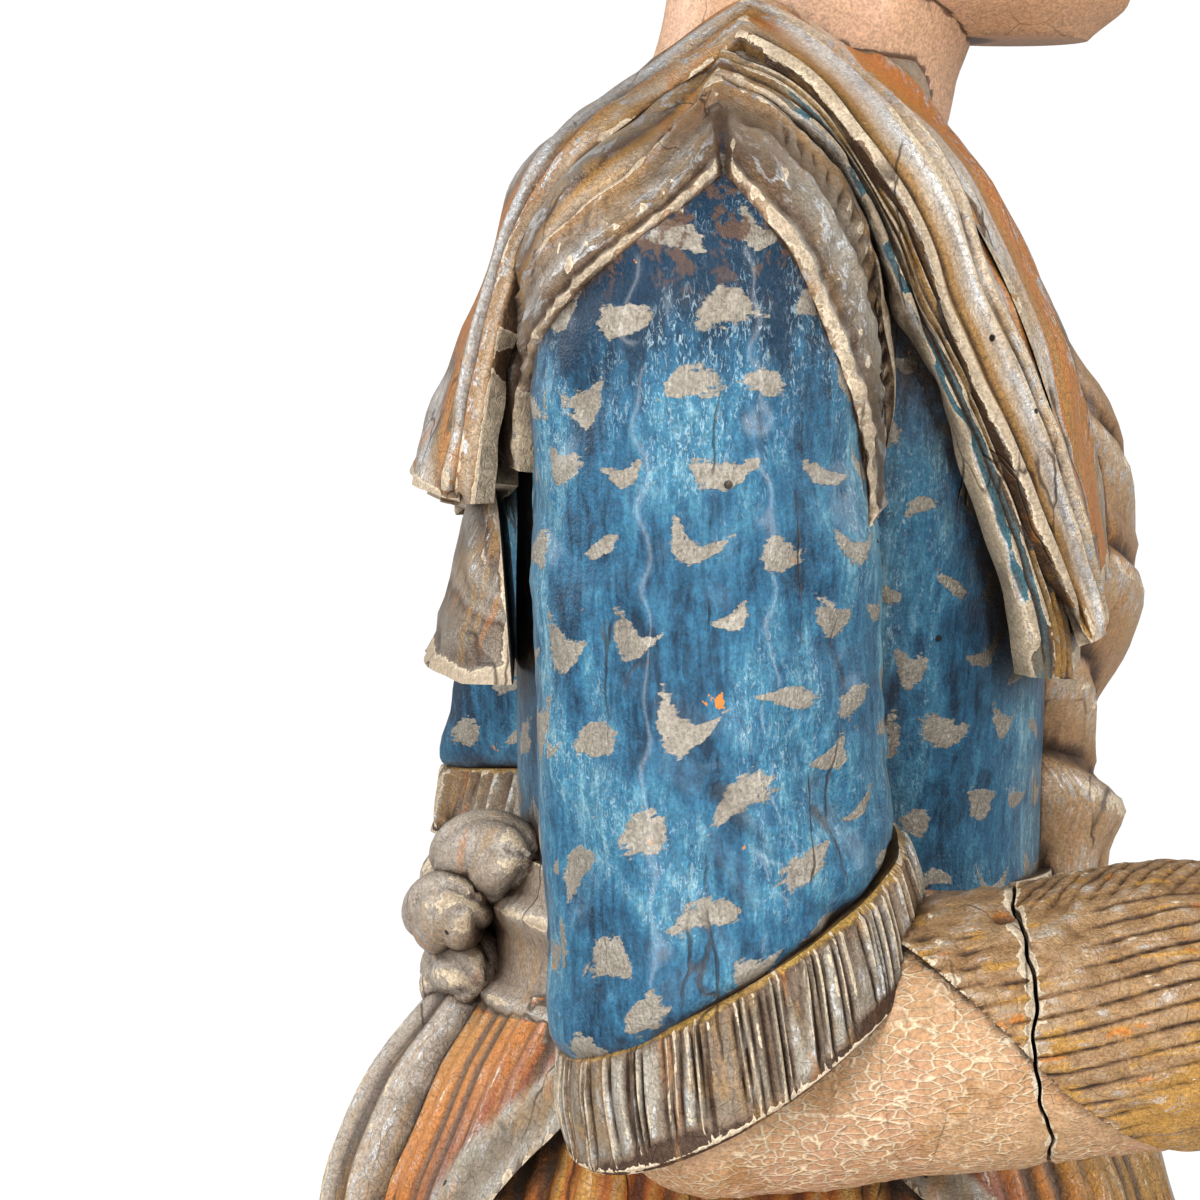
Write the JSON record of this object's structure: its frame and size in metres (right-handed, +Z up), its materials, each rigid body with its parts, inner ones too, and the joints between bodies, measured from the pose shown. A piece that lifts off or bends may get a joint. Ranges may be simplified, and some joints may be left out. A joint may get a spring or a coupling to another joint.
{
  "type": "guardian statue",
  "caption": "Standing carved and painted wooden guardian in layered robes, one forearm held forward, the other hand at the belt, on a low moulded plinth.",
  "frame": {"origin": "middle of the plinth's underside, below the middle of the robe", "axes": "+Z up the figure, -Y the way it faces, so its right hand is on -X and its left on +X"},
  "size_m": [0.4444, 0.3774, 1.0963],
  "materials": {
    "painted_wood": "worn blue, silver and gold paint over carved wood, satin varnish",
    "gilded_wood": "cracked flesh paint and worn gilding over carved wood, satin varnish",
    "bare_wood": "dark stained wood, dull"
  },
  "bodies": {
    "root": {"figure": "painted_wood", "right_forearm": "gilded_wood", "plinth": "bare_wood"}
  },
  "joints": []
}
